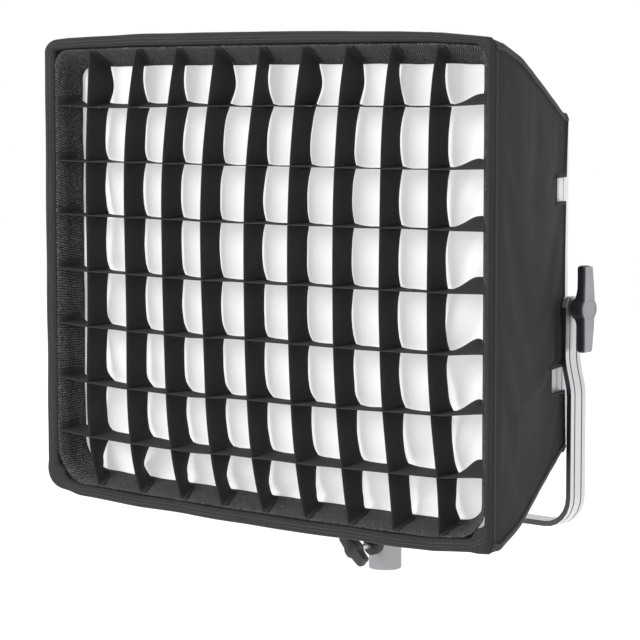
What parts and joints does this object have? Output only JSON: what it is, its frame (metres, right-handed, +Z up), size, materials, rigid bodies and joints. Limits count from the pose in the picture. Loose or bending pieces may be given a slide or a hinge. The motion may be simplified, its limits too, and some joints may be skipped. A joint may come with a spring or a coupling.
{
  "type": "softbox with LED panel light",
  "caption": "Rectangular softbox with egg-crate grid and diffuser on an LED panel light, held in a tilting yoke with a stand socket.",
  "frame": {"origin": "centre of the stand socket's mouth, on the receiver's lower face", "axes": "+Z up out of the stand, the softbox faces -Y, +X to the right for someone behind the light"},
  "size_m": [0.56, 0.2481, 0.518],
  "materials": {
    "silver_metal": "satin anodised, fine lengthwise grain",
    "sink_metal": "bare extruded aluminium",
    "bright_steel": "turned steel",
    "spring_steel": "spring steel wire",
    "black_plastic": "finely grained moulded plastic",
    "grey_plastic": "satin moulded plastic",
    "black_rubber": "matt rubber",
    "black_paint": "fine textured powder coat",
    "opal_plastic": "satin opal sheet",
    "board_white": "white solder mask",
    "board_green": "green solder mask",
    "display_glass": "smoked window",
    "glass_fibre": "glass-fibre rod",
    "black_nylon": "coated nylon, fine plain weave",
    "white_cloth": "translucent white polyester",
    "black_ribbon": "matt black ribbon and loop tape"
  },
  "bodies": {
    "stand_part": {"yoke": "silver_metal", "stand_receiver": "silver_metal", "receiver_core": "silver_metal", "receiver_bolt": "bright_steel", "clamp_bush": "black_plastic", "friction_washer_left": "black_rubber", "friction_washer_right": "black_rubber"},
    "clamp_screw_part": {"clamp_screw": "bright_steel"},
    "clamp_knob_part": {"clamp_knob": "black_plastic"},
    "lamp": {"pivot_stud_left": "bright_steel", "pivot_stud_right": "bright_steel", "lamp_frame_right": "silver_metal", "lamp_frame_left": "silver_metal", "lamp_frame_top": "silver_metal", "lamp_frame_bottom": "silver_metal", "lamp_diffuser_plate": "opal_plastic", "led_board": "board_white", "heat_sink": "sink_metal", "rear_cover": "black_paint", "control_box": "black_plastic", "display_window": "display_glass", "driver_board": "board_green", "power_inlet": "black_plastic"},
    "tilt_handle_left_part": {"tilt_handle_left": "black_plastic", "tilt_handle_facing_left": "grey_plastic"},
    "tilt_handle_right_part": {"tilt_handle_right": "black_plastic", "tilt_handle_facing_right": "grey_plastic"},
    "dimmer_knob_part": {"dimmer_knob": "black_plastic"},
    "colour_knob_part": {"colour_knob": "black_plastic"},
    "mode_button_part": {"mode_button": "grey_plastic"},
    "set_button_part": {"set_button": "grey_plastic"},
    "power_switch_part": {"power_switch": "black_plastic"},
    "softbox": {"panel_top": "black_nylon", "panel_bottom": "black_nylon", "panel_left": "black_nylon", "panel_right": "black_nylon", "front_hem": "black_nylon", "front_hoop": "spring_steel", "corner_rod_top_right": "glass_fibre", "corner_rod_top_left": "glass_fibre", "corner_rod_bottom_right": "glass_fibre", "corner_rod_bottom_left": "glass_fibre"},
    "diffuser": {"diffuser_cloth": "white_cloth"},
    "grid": {"grid_band": "black_ribbon", "grid_upright_1": "black_ribbon", "grid_upright_2": "black_ribbon", "grid_upright_3": "black_ribbon", "grid_upright_4": "black_ribbon", "grid_upright_5": "black_ribbon", "grid_upright_6": "black_ribbon", "grid_upright_7": "black_ribbon", "grid_upright_8": "black_ribbon", "grid_upright_9": "black_ribbon", "grid_level_1": "black_ribbon", "grid_level_2": "black_ribbon", "grid_level_3": "black_ribbon", "grid_level_4": "black_ribbon", "grid_level_5": "black_ribbon", "grid_level_6": "black_ribbon", "grid_level_7": "black_ribbon"}
  },
  "joints": [
    {"name": "clamp_travel", "type": "slide", "parent": "stand_part", "child": "clamp_screw_part", "axis": [0, -1, 0], "range_m": [-0.0011, 0.0021]},
    {"name": "clamp_turn", "type": "hinge", "parent": "clamp_screw_part", "child": "clamp_knob_part", "pos_m": [0, -0.045, 0.025], "axis": [0, -1, 0], "range_deg": [-360, 720]},
    {"name": "tilt", "type": "hinge", "parent": "stand_part", "child": "lamp", "pos_m": [0, 0, 0.269], "axis": [-1, 0, 0], "range_deg": [-6, 90]},
    {"name": "tilt_handle_left_turn", "type": "hinge", "parent": "lamp", "child": "tilt_handle_left_part", "pos_m": [0, 0, 0.269], "axis": [-1, 0, 0], "range_deg": [0, 360]},
    {"name": "tilt_handle_right_turn", "type": "hinge", "parent": "lamp", "child": "tilt_handle_right_part", "pos_m": [0, 0, 0.269], "axis": [1, 0, 0], "range_deg": [0, 360]},
    {"name": "dimmer_turn", "type": "hinge", "parent": "lamp", "child": "dimmer_knob_part", "pos_m": [-0.082, 0.0456, 0.217], "axis": [0, 1, 0], "continuous": true},
    {"name": "colour_turn", "type": "hinge", "parent": "lamp", "child": "colour_knob_part", "pos_m": [0.082, 0.0456, 0.217], "axis": [0, 1, 0], "continuous": true},
    {"name": "mode_press", "type": "slide", "parent": "lamp", "child": "mode_button_part", "axis": [0, -1, 0], "range_m": [0, 0.0012], "stiffness_N_per_m": 600, "springref_m": -0.001},
    {"name": "set_press", "type": "slide", "parent": "lamp", "child": "set_button_part", "axis": [0, -1, 0], "range_m": [0, 0.0012], "stiffness_N_per_m": 600, "springref_m": -0.001},
    {"name": "power_rock", "type": "hinge", "parent": "lamp", "child": "power_switch_part", "pos_m": [-0.03, 0.0276, 0.171], "axis": [1, 0, 0], "range_deg": [0, 14]},
    {"name": "softbox_off", "type": "slide", "parent": "lamp", "child": "softbox", "axis": [0, -1, 0], "range_m": [0, 0.12]},
    {"name": "diffuser_off", "type": "slide", "parent": "softbox", "child": "diffuser", "axis": [0, -1, 0], "range_m": [0, 0.12]},
    {"name": "grid_off", "type": "slide", "parent": "diffuser", "child": "grid", "axis": [0, -1, 0], "range_m": [0, 0.12]}
  ],
  "couplings": [
    {"joint": "clamp_travel", "follows": "clamp_turn", "m_per_rad": 0.00015915}
  ]
}
